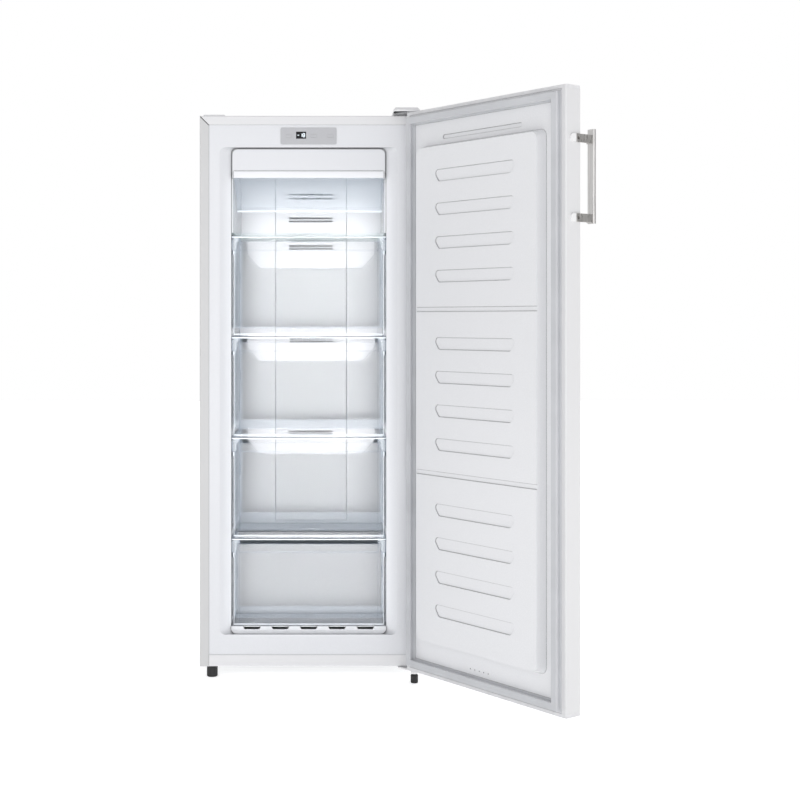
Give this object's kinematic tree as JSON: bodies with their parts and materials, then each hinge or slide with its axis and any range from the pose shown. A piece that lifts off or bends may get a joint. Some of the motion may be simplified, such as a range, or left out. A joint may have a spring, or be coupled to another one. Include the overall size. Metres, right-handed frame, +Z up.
{
  "type": "upright freezer",
  "caption": "Upright freezer with a hinged door and bar handle, pull-out drawers under a tilting flap, rear fan and evaporator, levelling feet and rollers.",
  "frame": {"origin": "on the floor, below the middle of the cabinet's width and depth", "axes": "+Z up, front towards -Y, +X to the hinge side on the right as one faces the open front; the door stands open"},
  "size_m": [0.9298, 0.9658, 1.449],
  "materials": {
    "white_steel": "satin white paint",
    "zinc_steel": "bare zinc-coated sheet",
    "foam": "rigid foam",
    "white_liner": "smooth white moulding",
    "flap_plastic": "clear moulding",
    "shelf_glass": "clear toughened glass",
    "drawer_plastic": "clear moulding",
    "panel_plastic": "smooth pale moulding",
    "display_glass": "smoked window",
    "board_green": "lacquered circuit board",
    "fin_aluminium": "bare aluminium",
    "heater_steel": "dull steel tube",
    "inner_plastic": "plain grey moulding",
    "motor_dark": "dark moulded housing",
    "cap_plastic": "pale grey moulding",
    "gasket_rubber": "soft grey seal",
    "handle_metal": "satin metal bar",
    "post_metal": "satin grey metal",
    "block_plastic": "smooth white moulding",
    "screw_steel": "dark plated steel",
    "hinge_steel": "plated steel plate",
    "cover_plastic": "smooth white moulding",
    "foot_plastic": "black moulding",
    "compressor_black": "black paint",
    "grommet_rubber": "black rubber",
    "copper": "bare copper"
  },
  "bodies": {
    "cabinet": {"side_panels": "white_steel", "top_panel": "white_steel", "base_crossbar": "white_steel", "back_panel": "zinc_steel", "partition": "zinc_steel", "compressor_tray": "zinc_steel", "roller_brackets": "zinc_steel", "insulation": "foam", "liner": "white_liner", "header_panel": "white_liner", "flap_cheeks": "white_liner", "duct_cover": "white_liner", "sill_grille": "white_liner", "glass_shelf": "shelf_glass", "control_panel": "panel_plastic", "display_window": "display_glass", "control_board": "board_green", "evaporator": "fin_aluminium", "defrost_heater": "heater_steel", "drip_trough": "inner_plastic", "evaporating_pan": "inner_plastic", "fan_motor": "motor_dark", "terminal_box": "motor_dark", "mains_inlet": "motor_dark", "top_hinge_screws": "screw_steel", "lower_hinge_screws": "screw_steel", "top_hinge_plate": "hinge_steel", "lower_hinge": "hinge_steel", "top_hinge_cover": "cover_plastic", "hinge_hole_cover": "cover_plastic", "compressor": "compressor_black", "compressor_grommets": "grommet_rubber", "refrigerant_pipes": "copper", "filter_drier": "copper"},
    "door": {"door_skin": "white_steel", "door_insulation": "foam", "door_liner": "white_liner", "door_top_cap": "cap_plastic", "door_bottom_cap": "cap_plastic", "door_gasket": "gasket_rubber", "door_bushes": "inner_plastic", "handle_bar": "handle_metal", "handle_posts": "post_metal", "handle_blocks": "block_plastic", "handle_screws": "screw_steel"},
    "flap": {"flap": "flap_plastic"},
    "drawer_1": {"drawer_1": "drawer_plastic"},
    "drawer_2": {"drawer_2": "drawer_plastic"},
    "drawer_3": {"drawer_3": "drawer_plastic"},
    "drawer_4": {"drawer_4": "drawer_plastic"},
    "button_fast": {"button_fast": "panel_plastic"},
    "button_alarm": {"button_alarm": "panel_plastic"},
    "button_set": {"button_set": "panel_plastic"},
    "fan": {"fan_blade": "inner_plastic"},
    "foot_left": {"foot_left": "foot_plastic"},
    "foot_right": {"foot_right": "foot_plastic"},
    "roller_left": {"roller_left": "foot_plastic"},
    "roller_right": {"roller_right": "foot_plastic"}
  },
  "joints": [
    {"name": "door_swing", "type": "hinge", "parent": "cabinet", "child": "door", "pos_m": [0.2673, -0.2775, 0], "axis": [0, 0, 1], "range_deg": [-126.7, 13.3]},
    {"name": "flap_tilt", "type": "hinge", "parent": "cabinet", "child": "flap", "pos_m": [0, -0.214, 1.281], "axis": [1, 0, 0], "range_deg": [-60, 25]},
    {"name": "drawer_1_slide", "type": "slide", "parent": "cabinet", "child": "drawer_1", "axis": [0, -1, 0], "range_m": [0, 0.3]},
    {"name": "drawer_2_slide", "type": "slide", "parent": "cabinet", "child": "drawer_2", "axis": [0, -1, 0], "range_m": [0, 0.3]},
    {"name": "drawer_3_slide", "type": "slide", "parent": "cabinet", "child": "drawer_3", "axis": [0, -1, 0], "range_m": [0, 0.3]},
    {"name": "drawer_4_slide", "type": "slide", "parent": "cabinet", "child": "drawer_4", "axis": [0, -1, 0], "range_m": [0, 0.13]},
    {"name": "button_fast_press", "type": "slide", "parent": "cabinet", "child": "button_fast", "axis": [0, 1, 0], "range_m": [0, 0.0005], "stiffness_N_per_m": 400},
    {"name": "button_alarm_press", "type": "slide", "parent": "cabinet", "child": "button_alarm", "axis": [0, 1, 0], "range_m": [0, 0.0005], "stiffness_N_per_m": 400},
    {"name": "button_set_press", "type": "slide", "parent": "cabinet", "child": "button_set", "axis": [0, 1, 0], "range_m": [0, 0.0005], "stiffness_N_per_m": 400},
    {"name": "fan_spin", "type": "hinge", "parent": "cabinet", "child": "fan", "pos_m": [0, 0.12, 1.292], "axis": [0, 1, 0], "continuous": true},
    {"name": "foot_left_turn", "type": "hinge", "parent": "cabinet", "child": "foot_left", "pos_m": [-0.248, -0.209, 0], "axis": [0, 0, 1], "continuous": true},
    {"name": "foot_right_turn", "type": "hinge", "parent": "cabinet", "child": "foot_right", "pos_m": [0.2673, -0.2775, 0], "axis": [0, 0, 1], "continuous": true},
    {"name": "roller_left_roll", "type": "hinge", "parent": "cabinet", "child": "roller_left", "pos_m": [-0.236, 0.208, 0.016], "axis": [1, 0, 0], "continuous": true},
    {"name": "roller_right_roll", "type": "hinge", "parent": "cabinet", "child": "roller_right", "pos_m": [0.236, 0.208, 0.016], "axis": [1, 0, 0], "continuous": true}
  ]
}
